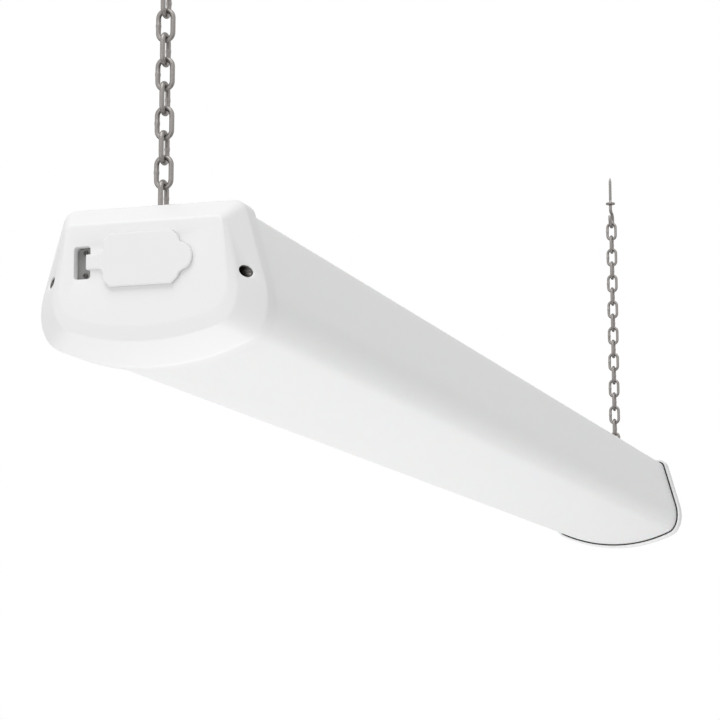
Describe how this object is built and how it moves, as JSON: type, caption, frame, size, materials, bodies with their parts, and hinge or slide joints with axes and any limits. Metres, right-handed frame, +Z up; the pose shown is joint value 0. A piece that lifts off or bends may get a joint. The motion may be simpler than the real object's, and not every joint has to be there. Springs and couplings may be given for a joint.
{
  "type": "hanging shop light",
  "caption": "Long linkable LED shop light with an opal wrap lens and moulded end caps, hung level on two link chains.",
  "frame": {"origin": "ceiling plane, midway between the two ceiling hooks", "axes": "+X along the light towards the supply end, +Y across it, +Z up into the ceiling"},
  "size_m": [1.2022, 0.1216, 0.359],
  "materials": {
    "zinc_steel": "zinc plated, satin",
    "white_plastic": "moulded, fine satin",
    "opal_plastic": "extruded opal, smooth satin",
    "black_rubber": "soft, matte",
    "white_rubber": "moulded, matte",
    "dark_screw": "blackened",
    "white_steel": "white powder coat",
    "white_board": "solder resist",
    "led_yellow": "phosphor",
    "green_board": "solder resist",
    "amber_tape": "polyester tape",
    "copper_coil": "enamelled wire",
    "blue_can": "shrink sleeve",
    "green_terminal": "moulded",
    "grey_plastic": "moulded",
    "black_plastic": "moulded",
    "brass": "bright",
    "black_wire": "insulation",
    "white_wire": "insulation",
    "green_wire": "insulation",
    "red_wire": "insulation"
  },
  "bodies": {
    "ceiling": {"ceiling_hook_near": "zinc_steel", "ceiling_hook_far": "zinc_steel"},
    "near_top_link": {"near_chain_top_link": "zinc_steel"},
    "near_chain": {"near_chain_links": "zinc_steel"},
    "fixture": {"near_hanger": "zinc_steel", "near_hanger_nuts": "zinc_steel", "near_end_cap": "white_plastic", "near_gasket": "black_rubber", "near_end_bracket": "zinc_steel", "near_cap_screws": "dark_screw", "near_screw_sleeves": "dark_screw", "far_hanger": "zinc_steel", "far_hanger_nuts": "zinc_steel", "far_end_cap": "white_plastic", "far_gasket": "black_rubber", "far_end_bracket": "zinc_steel", "far_cap_screws": "dark_screw", "far_screw_sleeves": "dark_screw", "housing": "white_steel", "lens": "opal_plastic", "led_tray": "white_steel", "tray_screws": "zinc_steel", "led_board_left": "white_board", "led_board_right": "white_board", "leds_left": "led_yellow", "leds_right": "led_yellow", "board_screws": "zinc_steel", "driver_case": "white_steel", "driver_lid": "white_steel", "driver_board": "green_board", "driver_transformer": "amber_tape", "driver_choke": "copper_coil", "driver_capacitors": "blue_can", "driver_terminals": "green_terminal", "driver_screws": "zinc_steel", "link_socket": "grey_plastic", "socket_contacts": "brass", "socket_screws": "zinc_steel", "supply_inlet": "black_plastic", "inlet_pins": "brass", "inlet_screws": "zinc_steel", "cover_tail": "white_rubber", "cover_clamp": "grey_plastic", "clamp_screws": "dark_screw", "live_wire": "black_wire", "neutral_wire": "white_wire", "earth_wire": "green_wire", "driver_supply_leads": "black_wire", "led_leads": "red_wire", "earth_lead": "green_wire", "earth_screw": "brass", "wire_clips": "white_plastic"},
    "far_top_link": {"far_chain_top_link": "zinc_steel"},
    "far_chain": {"far_chain_links": "zinc_steel"},
    "cover": {"socket_cover": "white_rubber"}
  },
  "joints": [
    {"name": "near_side_swing", "type": "hinge", "parent": "ceiling", "child": "near_top_link", "pos_m": [-0.574, 0, -0.023], "axis": [1, 0, 0], "range_deg": [-25, 25]},
    {"name": "near_length_swing", "type": "hinge", "parent": "near_top_link", "child": "near_chain", "pos_m": [-0.574, 0, -0.0356], "axis": [0, 1, 0], "range_deg": [-25, 25]},
    {"name": "fixture_level", "type": "hinge", "parent": "near_chain", "child": "fixture", "pos_m": [-0.574, 0, -0.2504], "axis": [0, 1, 0], "range_deg": [-25, 25]},
    {"name": "far_side_swing", "type": "hinge", "parent": "ceiling", "child": "far_top_link", "pos_m": [0.574, 0, -0.023], "axis": [1, 0, 0], "range_deg": [-25, 25]},
    {"name": "far_length_swing", "type": "hinge", "parent": "far_top_link", "child": "far_chain", "pos_m": [0.574, 0, -0.0356], "axis": [0, 1, 0], "range_deg": [-25, 25]},
    {"name": "cover_hinge", "type": "hinge", "parent": "fixture", "child": "cover", "pos_m": [-0.6011, 0.0242, -0.28215], "axis": [0, 0, -1], "range_deg": [0, 105], "stiffness_Nm_per_rad": 0.0024}
  ],
  "couplings": [
    {"joint": "fixture_level", "follows": "near_length_swing", "ratio": -1},
    {"joint": "far_side_swing", "follows": "near_side_swing", "ratio": 1},
    {"joint": "far_length_swing", "follows": "near_length_swing", "ratio": 1}
  ]
}
